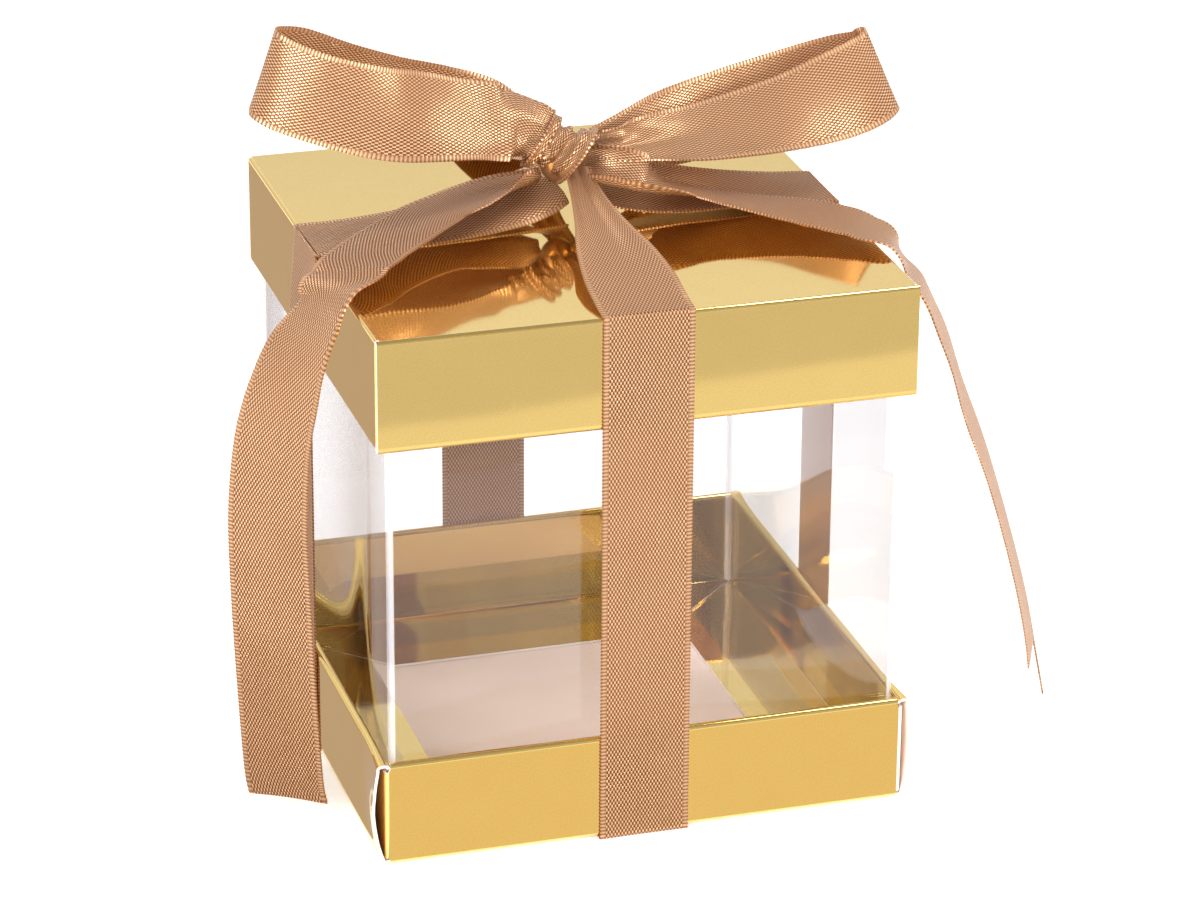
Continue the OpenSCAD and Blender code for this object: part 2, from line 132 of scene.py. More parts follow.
class Finish:
    # a material, and the one way its nodes are added
    def __init__(self, name, world=False):
        self.material = bpy.data.worlds.new(name) if world else bpy.data.materials.new(name)
        self.material.use_nodes = True
        self.tree = self.material.node_tree
        self.tree.nodes.clear()
        self.end = self.tree.nodes.new("ShaderNodeOutputWorld" if world else "ShaderNodeOutputMaterial")

    def node(self, kind, settings=None, values=None):
        node = self.tree.nodes.new(kind)
        for key, value in (settings or {}).items():
            setattr(node, key, value)
        for key, value in (values or {}).items():
            self.feed(node.inputs[key], value)
        return node

    def feed(self, socket, value):
        if isinstance(value, Wire):
            self.tree.links.new(value.socket, socket)
        elif isinstance(value, tuple) and len(value) == 3 and socket.type == "RGBA":
            socket.default_value = (*value, 1)
        else:
            socket.default_value = value

    def out(self, kind, settings=None, values=None, output=0):
        return Wire(self, self.node(kind, settings, values).outputs[output])

    def attribute(self, name):
        return self.out("ShaderNodeAttribute", {"attribute_name": name}, output="Fac")

    def noise(self, scale, detail=3.0, rough=0.5, stretch=None):
        place = self.out("ShaderNodeTexCoord", output="Object")
        if stretch:
            place = self.out("ShaderNodeMapping", None, {"Vector": place, "Scale": stretch})
        return self.out("ShaderNodeTexNoise", None, {
            "Vector": place, "Scale": scale, "Detail": detail, "Roughness": rough})

    def blend(self, share, first, second):
        # between two numbers, which are the mix node's sockets 2 and 3
        return self.out("ShaderNodeMix", None, {"Factor": share, 2: first, 3: second})

    def mix(self, share, first, second):
        # between two colours, which are the mix node's sockets 6 and 7
        values = {"Factor": share, 6: first, 7: second}
        return self.out("ShaderNodeMix", {"data_type": "RGBA"}, values, output=2)

    def bump(self, height, distance, strength=1.0, after=None):
        values = {"Height": height, "Distance": distance, "Strength": strength}
        if after:
            values["Normal"] = after
        return self.out("ShaderNodeBump", None, values)

    def close(self, shader):
        self.feed(self.end.inputs["Surface"], shader)
        return self.material


def makeGoldFoil():
    # foil laid on board: a mirror with a fine grain, a few long soft waves and faint scuffs
    f = Finish("goldFoil")
    grain = f.noise(5200, 2.0, 0.65)
    waves = f.noise(55, 1.0)
    cloud = f.noise(260, 3.0)
    scuffs = f.noise(700, 4.0, 0.7, stretch=(1, 1, 0.25)).rise(0.62, 0.76)
    tint = f.mix(cloud * 0.35 + grain.rise(0.3, 0.7) * 0.65, (0.88, 0.615, 0.195), (0.96, 0.71, 0.26))
    normal = f.bump(grain, 0.00001, 0.06)
    normal = f.bump(waves, 0.0009, 0.035, normal)
    return f.close(f.out("ShaderNodeBsdfPrincipled", None, {
        "Base Color": tint, "Metallic": 1.0, "Roughness": scuffs * 0.07 + (cloud * 0.03 + 0.03),
        "Normal": normal}))


def makeBoardBack():
    # the board's uncoated side, which shows on the tray's floor
    f = Finish("boardBack")
    fibres = f.noise(2600, 5.0, 0.65, stretch=(1, 0.35, 1))
    cloud = f.noise(160, 3.0)
    return f.close(f.out("ShaderNodeBsdfPrincipled", None, {
        "Base Color": f.mix(cloud * 0.6 + fibres * 0.4, (0.88, 0.70, 0.60), (0.97, 0.83, 0.74)),
        "Roughness": 0.62, "Normal": f.bump(fibres, 0.00003, 0.4)}))


def makeCutEdge():
    # the board's pale core, where its blank was cut
    f = Finish("cutEdge")
    fibres = f.noise(5000, 3.0, 0.7)
    return f.close(f.out("ShaderNodeBsdfPrincipled", None, {
        "Base Color": f.mix(fibres, (0.66, 0.57, 0.52), (0.90, 0.86, 0.82)), "Roughness": 0.8,
        "Normal": f.bump(fibres, 0.00004, 0.5)}))


def makeClearSheet():
    # a thin clear sheet: what passes, what its faces mirror, a whitish haze painted along its folds as their
    # bright reflections, and real specks of dust
    f = Finish("clearSheet")
    facing = f.out("ShaderNodeLayerWeight", None, {"Blend": 0.5}, output="Facing")
    mirrored = facing ** 5 * 0.9 + 0.045
    dust = f.noise(2300, 3.0, 0.7).rise(0.74, 0.8)
    fold = f.attribute("fold")
    # a painted highlight along the folds, together with real dust specks
    foldSheenAndDust = (fold.rise(0.5, 1) * 0.3 + dust * 0.25).most(1)
    passed = f.out("ShaderNodeBsdfTransparent", None, {"Color": (0.952, 0.952, 0.958)})
    wave = f.noise(60, 1.0)
    gloss = f.out("ShaderNodeBsdfPrincipled", None, {
        "Base Color": (0.95, 0.95, 0.97), "Metallic": 1.0, "Roughness": 0.02,
        "Normal": f.bump(wave, 0.0008, 0.04)})
    pane = f.out("ShaderNodeMixShader", None, {0: mirrored, 1: passed, 2: gloss})
    haze = f.out("ShaderNodeBsdfPrincipled", None, {"Base Color": (0.86, 0.85, 0.89), "Roughness": 0.25})
    return f.close(f.out("ShaderNodeMixShader", None, {0: foldSheenAndDust, 1: pane, 2: haze}))


# the weave's spacing, and how far the edge's threads lie from the ribbon's middle, in millimetres
weave = {"across": 0.2, "along": 0.35, "edgeFrom": 4.35, "edgeFull": 4.5, "cordAt": 4.72}


def makeSatin():
    # woven satin: rows of floats over a ground, and looped edge threads; the floats' brightness is a painted
    # sheen and the ground's darkness a painted shade between the threads
    f = Finish("satin")
    along, across = f.attribute("along"), f.attribute("across")
    checks = (across * (math.pi / weave["across"])).sine() * (along * (math.pi / weave["along"])).sine()
    floats = checks.rise(-0.3, 0.55)
    inEdge = across.size().rise(weave["edgeFrom"], weave["edgeFull"])
    loops = (along * (2 * math.pi / ribbon["picotEvery"])).sine() * 0.5 + 0.5
    cord = 1 - (across.size() - weave["cordAt"]).size().rise(0.05, 0.3)
    height = f.blend(inEdge, floats, loops * 0.65 + cord * 0.2)
    cloud = f.noise(180, 2.0)
    # the weave is a real pattern, but its bright floats are painted sheen and its dark ground is painted
    # shade
    floatSheen = f.mix(cloud, (0.98, 0.61, 0.335), (1.0, 0.68, 0.40))
    groundShade = f.mix(cloud, (0.17, 0.05, 0.014), (0.23, 0.074, 0.023))
    tint = f.mix(height, groundShade, floatSheen)
    normal = f.bump(f.noise(110, 1.0), 0.0016, 0.3)
    cloth = f.out("ShaderNodeBsdfPrincipled", None, {
        "Base Color": tint, "Metallic": 0.6, "Roughness": 0.4 - height * 0.1,
        "Normal": f.bump(height, 0.00007, 0.9, normal)})
    through = f.out("ShaderNodeBsdfTranslucent", None, {"Color": (0.82, 0.50, 0.30)})
    return f.close(f.out("ShaderNodeMixShader", None, {0: 0.24, 1: cloth, 2: through}))


goldFoil, boardBack, cutEdge = makeGoldFoil(), makeBoardBack(), makeCutEdge()
clearSheet, satin = makeClearSheet(), makeSatin()
print("materials: made")


# Making pieces

# an edge that turns further than this is shaded sharp
sharpFrom = math.radians(50)


def piece(name, bm, materials, body, nodes):
    # a finished mesh, riding on its body in place of the nodes that it stands for
    mesh = bpy.data.meshes.new(name)
    bm.to_mesh(mesh)
    bm.free()
    thing = bpy.data.objects.new(name, mesh)
    scene.collection.objects.link(thing)
    for material in materials:
        mesh.materials.append(material)
    if nodes:
        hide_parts(*nodes)
    if body:
        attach(thing, body)
    return thing


def thicken(bm, thick, count=1):
    # gives a surface its thickness on both sides of it; the back and the rim take the next materials
    mesh = bpy.data.meshes.new("middle")
    bm.to_mesh(mesh)
    bm.free()
    for k in range(count):
        mesh.materials.append(None)
    thing = bpy.data.objects.new("middle", mesh)
    scene.collection.objects.link(thing)
    solid = thing.modifiers.new("thick", "SOLIDIFY")
    solid.thickness, solid.offset, solid.use_rim = thick * mm, 0, True
    solid.use_even_offset = count > 1  # on the finely pleated ribbon it would throw up spikes
    solid.material_offset, solid.material_offset_rim = min(1, count - 1), min(2, count - 1)
    done = bpy.data.meshes.new_from_object(thing.evaluated_get(bpy.context.evaluated_depsgraph_get()))
    bpy.data.objects.remove(thing)
    bpy.data.meshes.remove(mesh)
    bm = bmesh.new()
    bm.from_mesh(done)
    bpy.data.meshes.remove(done)
    bmesh.ops.recalc_face_normals(bm, faces=bm.faces[:])
    for face in bm.faces:
        face.smooth = True
    for edge in bm.edges:
        edge.smooth = len(edge.link_faces) < 2 or edge.calc_face_angle(0) < sharpFrom
    return bm


def grid(rows, columns, place, layers=()):
    # a flat grid, each vertex carried to its place; place(i, j) gives a point and the values of the layers
    bm = bmesh.new()
    bmesh.ops.create_grid(bm, x_segments=rows - 1, y_segments=columns - 1, size=0.5)
    kept = [bm.verts.layers.float.new(name) for name in layers]
    for vertex in bm.verts:
        i = round((vertex.co.x + 0.5) * (rows - 1))
        j = round((vertex.co.y + 0.5) * (columns - 1))
        point, *values = place(i, j)
        vertex.co = Vector(point) * mm
        for layer, value in zip(kept, values):
            vertex[layer] = value
    return bm


def addTo(whole, bm):
    # moves one mesh's faces into another
    part = bpy.data.meshes.new("part")
    bm.to_mesh(part)
    bm.free()
    whole.from_mesh(part)
    bpy.data.meshes.remove(part)


def arc(x, y, r, start, stop, steps):
    turns = [math.radians(start + (stop - start) * i / steps) for i in range(steps + 1)]
    return [(x + r * math.cos(a), y + r * math.sin(a)) for a in turns]


def easeIn(u):
    u = min(1.0, max(0.0, u))
    return u * u * (3 - 2 * u)


def quarterTurns(count, size=4):
    return Matrix.Rotation(math.radians(90 * count), size, "Z")


# Folded board

board = {"thick": 0.3, "slack": 0.05, "baseWall": 12.0, "lidWall": 12.7, "endFlap": 12.4, "sideFlap": 10.2,
         "tab": 11.0, "bulge": 1.1, "bulgeRun": 9.0, "crease": 0.3}
turnOf = {"front": 0, "right": 1, "back": 2, "left": 3}
lidTurnOf = {"front": 2, "right": 1, "back": 0, "left": 3}

# how far a wall's free ends spring outwards, by the share of the wall's height
springs = [(0.08, 0.28), (0.16, 0.5), (0.25, 0.68), (0.37, 0.88), (0.5, 1), (0.62, 0.96), (0.75, 0.84),
           (0.87, 0.68)]

# where a wall's columns stand between its middle and its end, closer together near the end
endShares = [1, 0.985, 0.97, 0.95, 0.93, 0.91, 0.88, 0.85, 0.8, 0.75, 0.7]
wallShares = [-s for s in endShares] + [-0.35, 0, 0.35] + endShares[::-1]


def onBase(side):
    return Matrix.Translation((0, 0, box["baseLift"] * mm)) @ quarterTurns(turnOf[side])


def onLid(side):
    # the lid is folded as the base is, then turned over
    over = Matrix.Rotation(math.pi, 4, "X")
    return Matrix.Translation((0, 0, box["height"] * mm)) @ over @ quarterTurns(lidTurnOf[side])


def wallRows(high, half, flap, capped):
    # the wall's section: distance inwards, height, half length and share of the outward spring
    t, slack, crease = board["thick"], board["slack"], board["crease"]
    step = t + slack
    innerFace = t + 2 * step
    outerEnd = half - slack if capped else half - step - t / 2 - step
    rimEnd = half - slack if capped else half - innerFace - slack
    innerEnd = half - innerFace - slack
    low, top, flapZ = t / 2 + crease, high - t / 2 - step, t + slack + t / 2
    rows = [(x, z, outerEnd, 0) for x, z in arc(crease, low, crease, 270, 180, 6)]
    rows += [(0, low + (top - low) * share, outerEnd, spring) for share, spring in springs]
    rows.append((0, top - step, outerEnd, 0.5))
    rows += [(x, z, rimEnd, 0.5 * (1 - x / (2 * step))) for x, z in arc(step, top, step, 180, 0, 12)]
    rows.append((2 * step, top - step, innerEnd, 0))
    rows += [(2 * step, low + (top - low) * share, innerEnd, 0) for share in (0.75, 0.5, 0.25)]
    rows += [(x, z, innerEnd - (x - 2 * step), 0) for x, z in
             arc(2 * step + crease, flapZ + crease, crease, 180, 270, 6)]
    rows.append((2 * step + flap / 2, flapZ, innerEnd - flap / 2, 0))
    rows.append((2 * step + flap, flapZ, innerEnd - flap, 0))
    return rows


def springAt(share, half):
    u = max(0.0, 1 - (1 - abs(share)) * half / board["bulgeRun"])
    return u * u


def foldedWall(name, node, body, where, high, half, offset, flap, capped, bulge):
    # a wall folded over at its rim, down its inner side and in along the floor
    rows = wallRows(high, half, flap, capped)

    def place(i, j):
        inward, z, halfLength, spring = rows[i]
        s = wallShares[j]
        y = -(offset - board["thick"] / 2) + inward - bulge * spring * springAt(s, half)
        return ((s * halfLength, y, z),)

    bm = thicken(grid(len(rows), len(wallShares), place), board["thick"], 3)
    bmesh.ops.transform(bm, matrix=where, verts=bm.verts[:])
    piece(name, bm, [boardBack, goldFoil, cutEdge], body, [node])


def cornerTabs(name, node, body, turns, high, half, offset):
    # the tabs of two opposite walls, turned into the double walls beside them
    t, slack = board["thick"], board["slack"]
    step = t + slack
    low, top = 2 * t + slack, high - t - 2 * step
    x, y = half - step - t / 2, -(offset - t / 2)
    path = [(px, py, 0) for px, py in arc(x - step, y + step, step, 270, 360, 6)]
    path += [(x, y + step + board["tab"] / 2, 0), (x, y + step + board["tab"], board["tab"] / 4)]
    whole = bmesh.new()
    for turn in turns:
        for side in (1, -1):
            def place(i, j):
                px, py, taper = path[i]
                return ((side * px, py, (low + taper) + (top - low - 2 * taper) * j / 3),)

            bm = thicken(grid(len(path), 4, place), t, 3)
            bmesh.ops.transform(bm, matrix=turn, verts=bm.verts[:])
            addTo(whole, bm)
    bmesh.ops.recalc_face_normals(whole, faces=whole.faces[:])
    piece(name, whole, [boardBack, goldFoil, cutEdge], body, [node])


def panel(name, node, body, where):
    # the flat middle of a blank: foil on its outer side and bare board inside
    t = board["thick"]
    width, depth = box["width"] - t - 2 * board["crease"], box["depth"] - t - 2 * board["crease"]
    bm = bmesh.new()
    bmesh.ops.create_cube(bm, size=1)
    bmesh.ops.scale(bm, vec=(width * mm, depth * mm, t * mm), verts=bm.verts[:])
    bmesh.ops.translate(bm, vec=(0, 0, t / 2 * mm), verts=bm.verts[:])
    for face in bm.faces:
        face.material_index = 0 if face.normal.z < -0.5 else 1 if face.normal.z > 0.5 else 2
    level = [edge for edge in bm.edges if abs((edge.verts[0].co - edge.verts[1].co).z) < 1e-6]
    bmesh.ops.subdivide_edges(bm, edges=level, cuts=5, use_grid_fill=True)
    bmesh.ops.transform(bm, matrix=where, verts=bm.verts[:])
    piece(name, bm, [goldFoil, boardBack, cutEdge], body, [node])


# the capped walls of a tray hide the ends of its other two, which hold the corner tabs
trays = {"base": {"on": onBase, "high": board["baseWall"], "panel": "Floor", "flat": "front",
                  "capped": ("left", "right"), "open": ("front", "back"), "bulge": board["bulge"]},
         "lid": {"on": onLid, "high": board["lidWall"], "panel": "Top", "flat": "back",
                 "capped": ("front", "back"), "open": ("left", "right"), "bulge": 0.0}}
spans = {"front": (halfW, halfD, board["endFlap"]), "back": (halfW, halfD, board["endFlap"]),
         "left": (halfD, halfW, board["sideFlap"]), "right": (halfD, halfW, board["sideFlap"])}
for body, tray in trays.items():
    on, high = tray["on"], tray["high"]
    panel(body + tray["panel"], body + "_" + tray["panel"].lower(), body, on(tray["flat"]))
    for side, (half, offset, flap) in spans.items():
        capped = side in tray["capped"]
        foldedWall(body + side.capitalize() + "Wall", body + "_" + side + "_wall", body, on(side), high,
                   half, offset, flap, capped, tray["bulge"] if capped else 0.0)
    half, offset, flap = spans[tray["open"][0]]
    cornerTabs(body + "CornerTabs", body + "_corner_tabs", body, [on(side) for side in tray["open"]],
               high, half, offset)
print("board: folded both trays")


# Clear sleeve

sleeve = {"thick": 0.25, "clear": 0.2, "bow": 1.8, "fold": 0.6, "hem": 6.0, "seam": 7.0, "steps": 24}


def makeSleeve():
    # one strip round four folds, closed by a glued overlap, with hems folded in along its bottom
    t, r, steps = sleeve["thick"], sleeve["fold"], sleeve["steps"]
    inner = board["thick"] * 3 + board["slack"] * 2 + sleeve["clear"]
    half = halfW - inner
    low = box["baseLift"] + 2 * board["thick"] + 2 * board["slack"]
    high = box["height"] - 2 * board["thick"] - 2 * board["slack"]
    x, y = half - t / 2 - r, -(half - t / 2)

    def bowIn(s):
        return sleeve["bow"] * (1 + math.cos(math.pi * s)) / 2

    def turned(point, k):
        a = math.radians(90 * k)
        px, py = point
        return (px * math.cos(a) - py * math.sin(a), px * math.sin(a) + py * math.cos(a))

    path = []
    shift = t + board["slack"]
    for i in range(7):
        s = -1 + sleeve["seam"] / x * (1 - i / 6)
        path.append((*turned((s * x, y + bowIn(s) + shift), 3), 0))
    nearFold = [0.985, 0.96]
    paneShares = nearFold + [1 - 2 * i / steps for i in range(1, steps)] + [-s for s in nearFold[::-1]]
    for k in (2, 1, 0, 3):
        opening = enumerate(arc(x, y + r, r, 315, 270, 5))
        closing = enumerate(arc(-x, y + r, r, 270, 225, 5))
        # the third value sets how strongly the painted fold highlight shows there
        points = [(px, py, 1 if n < 5 else 0.6) for n, (px, py) in opening]
        if k == 2:
            points = points[2:]
        points += [(s * x, y + bowIn(s), 0) for s in paneShares]
        points += [(px, py, 1 if n > 0 else 0.6) for n, (px, py) in closing]
        path += [(*turned(p[:2], k), p[2]) for p in (points if k == 3 else points[:-1])]
    path = path[:-4]
    heights = [low + t / 2 + (high - low - t / 2) * share for share in (0, 0.02, 0.2, 0.5, 0.8, 0.98, 1)]

    def panePlace(i, j):
        px, py, fold = path[i]
        return (px, py, heights[j]), fold

    made = bmesh.new()
    addTo(made, thicken(grid(len(path), len(heights), panePlace, ["fold"]), t))
    hemShares = (0.0, 0.25, 1.0)
    for k in range(4):
        def hemPlace(i, j):
            s = -1 + 2 * i / steps
            out = (s * (x - t), y + t + board["slack"] + bowIn(s))
            back = (s * (x - t - sleeve["hem"] - 0.1), y + t + sleeve["hem"] + r)
            u = hemShares[j]
            point = turned((out[0] + (back[0] - out[0]) * u, out[1] + (back[1] - out[1]) * u), k)
            # the hem's folded edge gets a weaker painted fold highlight
            return (point[0], point[1], low + t / 2), 0.35 if j == 0 else 0

        addTo(made, thicken(grid(steps + 1, len(hemShares), hemPlace, ["fold"]), t))
    piece("clearSleeve", made, [clearSheet], "sleeve", [
        "sleeve_front_pane", "sleeve_back_pane", "sleeve_left_pane", "sleeve_right_pane",
        "sleeve_bottom_hems", "sleeve_glue_tab"])


makeSleeve()
print("sleeve: folded")


# Ribbon

bow = {"lift": 7.1, "knotR": 3.3, "knotY": 1.5, "reach": 34.5, "open": 8.5, "leftRise": 12.7,
       "rightRise": 7.0, "settle": 0.11, "settleFrom": 2, "settleSide": 0.8, "settleBack": 2.7}
knotZ = box["height"] + bow["lift"]

# where a ribbon's columns stand between its middle and its edge, closer together in the edge threads
halfShares = [0, 0.16, 0.32, 0.48, 0.64, 0.78, 0.87, 0.92, 0.96, 1]
ribbonShares = [-s for s in halfShares[:0:-1]] + halfShares


def between(a, b, c, d, u):
    # a smooth line's point, the share u of the way from b to c
    return [(2 * q + (r - p) * u + (2 * p - 5 * q + 4 * r - s) * u * u + (3 * q - p - 3 * r + s) * u ** 3) / 2
            for p, q, r, s in zip(a, b, c, d)]


def spaced(rows, step, finely=30):
    # a smooth line through the rows, with points at even distances
    rows = [list(row) for row in rows]
    before = [2 * p - q for p, q in zip(rows[0], rows[1])]
    after = [2 * p - q for p, q in zip(rows[-1], rows[-2])]
    held = [before] + rows + [after]
    fine = [between(*held[i:i + 4], k / finely) for i in range(len(rows) - 1) for k in range(finely)]
    fine.append(rows[-1])
    run = [0.0]
    for a, b in zip(fine, fine[1:]):
        run.append(run[-1] + math.dist(a[:3], b[:3]))
    count = max(2, round(run[-1] / step))
    even, k = [], 0
    for i in range(count + 1):
        distance = run[-1] * i / count
        while k < len(run) - 2 and run[k + 1] < distance:
            k += 1
        u = (distance - run[k]) / max(run[k + 1] - run[k], 1e-9)
        even.append([p + (q - p) * u for p, q in zip(fine[k], fine[k + 1])])
    return even, run[-1]


def framesOf(even, reference):
    # at each point: the middle, the way across, the way out, the curl in radians and the width's share
    found = []
    last = len(even) - 1
    for i, row in enumerate(even):
        a, b = Vector(even[max(i - 1, 0)][:3]), Vector(even[min(i + 1, last)][:3])
        along = (b - a).normalized()
        up = (reference - along * reference.dot(along)).normalized()
        roll = math.radians(row[3])
        across = up * math.cos(roll) + along.cross(up) * math.sin(roll)
        out = along.cross(across) * (-1 if row[4] < 0 else 1)
        found.append((Vector(row[:3]), across, out, math.radians(max(abs(row[4]), 1)), row[5]))
    return found


def settled(point):
    # the tied bow sinks and leans back a little, the more the higher it stands over the lid
    high = point[2] - box["height"]
    fall = bow["settle"] * high * easeIn(high / bow["settleFrom"])
    return Vector((point[0] + bow["settleSide"] * fall, point[1] + bow["settleBack"] * fall, point[2] - fall))


def pleat(share, waves, distance, sharp):
    # how far a gathered ribbon stands out or in: soft waves, or sharp ridges that wander as they run
    if not sharp:
        return math.sin(math.pi * waves * share + 0.6)
    wander = 0.35 * math.sin(distance * 0.45)
    ridges = 2 * abs(math.sin(math.pi * waves * share / 2 + 0.5 + wander)) ** 0.8 - 1.2
    return ridges * (1 - 0.7 * share ** 4)


def ribbonPiece(name, nodes, body, rows, reference, startAt=0.0, pleats=0.0, waves=2.5, cut=None,
                step=ribbon["step"], columns=0, sharp=False):
    # a stretch of ribbon; each row gives a point, the roll and curl in degrees and the width's share
    even, length = spaced(rows, step)
    frames = framesOf(even, Vector(reference))
    last = len(frames) - 1
    shares = [2 * k / columns - 1 for k in range(columns + 1)] if columns else ribbonShares

    def place(i, j):
        share = shares[j]
        distance = i / last * length - (cut(share) * (i / last) ** 12 if cut else 0)
        spot = distance / length * last
        k = min(int(spot), last - 1)
        u = spot - k
        (c0, x0, o0, curl0, w0), (c1, x1, o1, curl1, w1) = frames[k], frames[k + 1]
        centre, across, out = c0.lerp(c1, u), x0.lerp(x1, u), o0.lerp(o1, u)
        curl, width = curl0 + (curl1 - curl0) * u, w0 + (w1 - w0) * u
        a = share * curl / 2
        r = ribbon["width"] * width / curl
        middle = math.sin(curl / 2) * 2 / curl
        point = centre + across * (r * math.sin(a)) + out * (r * (math.cos(a) - middle))
        if width < 0.995 and pleats:
            deep = pleats * ribbon["width"] * width / (math.pi * waves) * math.sqrt(1 / width - 1)
            fold = pleat(share, waves, distance, sharp)
            point += (across * math.sin(a) + out * math.cos(a)) * (deep * fold)
        if abs(share) > 0.95:
            turn = 2 * math.pi * (startAt + distance) / ribbon["picotEvery"]
            loop = ribbon["picot"] * (0.5 - 0.5 * math.cos(turn))
            edgeward = math.copysign(loop * (1 if abs(share) == 1 else 0.5), share)
            point += (across * math.cos(a) - out * math.sin(a)) * edgeward
        return settled(point) if body == "lid" else point, startAt + distance, share * ribbon["width"] / 2

    bm = thicken(grid(last + 1, len(shares), place, ["along", "across"]), ribbon["thick"])
    return piece(name, bm, [satin], body, nodes), length


def flatArea(length, share):
    # in square metres; the share leaves out what the gathers and curls take up
    return share * ribbon["width"] * length * mm * mm


def flatRows(path, place, side):
    # a flat band: its path is distance outwards and height; the left one leans back below the lid's top
    turn = quarterTurns(turnOf[side], 3)
    lean = ribbon["lean"] if side == "left" else 0
    rows = []
    for outwards, z in path:
        back = lean * easeIn((box["height"] - z) / ribbon["leanRun"])
        rows.append([*(turn @ Vector((place - back, -outwards, z))), 0, 0, 1])
    return rows


def densely(path):
    # points about a millimetre apart on the straight stretches, so that the smooth line keeps to them
    more = [path[0]]
    for a, b in zip(path, path[1:]):
        count = max(1, round(math.dist(a, b)))
        for i in range(1, count + 1):
            more.append((a[0] + (b[0] - a[0]) * i / count, a[1] + (b[1] - a[1]) * i / count))
    return more


offWall = ribbon["gap"] + ribbon["thick"] / 2
sides = {"front": (ribbon["frontX"], halfD), "back": (-ribbon["backX"], halfD),
         "left": (-ribbon["leftY"], halfW), "right": (ribbon["rightY"], halfW)}
bandLengths = {}
for side, (place, offset) in sides.items():
    reference = quarterTurns(turnOf[side], 3) @ Vector((1, 0, 0))
    lower = [(offset + x, ribbon["thick"] / 2 + offWall + z) for x, z in arc(0, 0, offWall, 270, 360, 4)]
    lower = densely(lower + [(offset + offWall, ribbon["split"])])
    upper = [(offset + x, box["height"] + z) for x, z in arc(0, 0, offWall, 0, 90, 4)]
    upper = densely([(offset + offWall, ribbon["split"])] + upper)
    low, lowLength = ribbonPiece(side + "BandLower", ["ribbon_" + side + "_lower"], None,
                                 flatRows(lower, place, side), reference)
    high, highLength = ribbonPiece(side + "BandUpper", ["ribbon_" + side + "_upper"], None,
                                   flatRows(upper, place, side), reference, lowLength)
    foot = Vector(flatRows([(offset, 0)], place, side)[0][:3])
    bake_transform(low)
    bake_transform(high)
    for band, length in ((low, lowLength), (high, highLength)):
        length * mm
    bandLengths[side] = lowLength + highLength

# the risers, from the lid's edge to the knot: share of the way, height in lifts, roll, curl and width's share
frontRiser = [
    (0, 0.027, 0, 0, 1), (0.09, 0.08, 0, 0, 1), (0.26, 0.2, 0, 12, 0.99), (0.46, 0.34, 0, 20, 0.85),
    (0.66, 0.47, 0, 25, 0.59), (0.84, 0.6, 0, 30, 0.41), (1, 0.74, 0, 40, 0.31), (1.06, 0.84, 0, 50, 0.3)]
leftRiser = [
    (0, 0.027, 0, 0, 1), (0.2, 0.03, 0, 0, 1), (0.45, 0.07, 3, 10, 1), (0.68, 0.15, 8, 15, 1),
    (0.86, 0.26, 14, 30, 0.95), (1, 0.38, 22, 50, 0.82), (1.08, 0.48, 30, 60, 0.7)]
rightRiser = [
    (0, 0.027, 0, 0, 1), (0.2, 0.06, -2, 0, 1), (0.45, 0.14, -6, 10, 1), (0.68, 0.24, -14, 15, 1),
    (0.86, 0.36, -22, 30, 0.95), (1, 0.48, -30, 50, 0.8), (1.08, 0.56, -35, 60, 0.7)]


def riserRows(table, edge, knotSide, sideways):
    # the sideways part of the way comes in late, so that a riser leaves the edge square to it
    edge, knotSide, sideways = Vector(edge), Vector(knotSide), Vector(sideways)
    span = knotSide - edge
    drift = sideways * sideways.dot(span)
    rows = []
    for share, lift, *rest in table:
        p = edge + (span - drift) * share + drift * share * share
        rows.append([p.x, p.y, box["height"] + lift * bow["lift"], *rest])
    return rows


gap, knotR, knotY = ribbon["gap"], bow["knotR"], bow["knotY"]
risers = {"front": (frontRiser, (ribbon["frontX"], gap - halfD), (0.35, knotY - knotR), (1, 0)),
          "back": (frontRiser, (ribbon["backX"], halfD - gap), (0, knotY + knotR), (1, 0)),
          "left": (leftRiser, (gap - halfW, ribbon["leftY"]), (-knotR, knotY + 1.8), (0, 1)),
          "right": (rightRiser, (halfW - gap, ribbon["rightY"]), (knotR, knotY), (0, 1))}
for side, (table, edge, knotSide, sideways) in risers.items():
    rows = riserRows(table, edge, knotSide, sideways)
    made, length = ribbonPiece(side + "Riser", ["ribbon_" + side + "_riser"], "lid", rows, (*sideways, 0),
                               bandLengths[side], pleats=0.3)
    length * mm
    flatArea(length, 0.85)

# the loops, in shares of the bow's reach, opening and rise, then roll, curl and width's share
leftLoop = [
    (-0.05, -0.2, 0.2, 26, 60, 0.4), (-0.09, -0.2, 0.24, 30, -60, 0.56),
    (-0.14, -0.12, 0.31, 34, -120, 0.8), (-0.185, -0.1, 0.36, 36, -110, 0.92),
    (-0.23, -0.15, 0.4, 40, -45, 0.94), (-0.315, -0.16, 0.44, 43, -20, 0.97),
    (-0.457, -0.27, 0.515, 35, -5, 1), (-0.633, -0.36, 0.61, 12, 0, 1), (-0.813, -0.31, 0.755, 3, 0, 1),
    (-0.935, -0.14, 0.875, 8, 0, 1), (-0.992, 0.1, 0.955, 14, 0, 1), (-0.977, 0.36, 0.97, 19, 0, 1),
    (-0.891, 0.57, 0.925, 25, 0, 1), (-0.738, 0.69, 0.755, 28, 0, 1), (-0.574, 0.72, 0.585, 25, 0, 1),
    (-0.416, 0.66, 0.45, 18, 0, 1), (-0.231, 0.5, 0.28, 5, 60, 0.85), (-0.1, 0.3, 0.14, 0, 120, 0.4)]
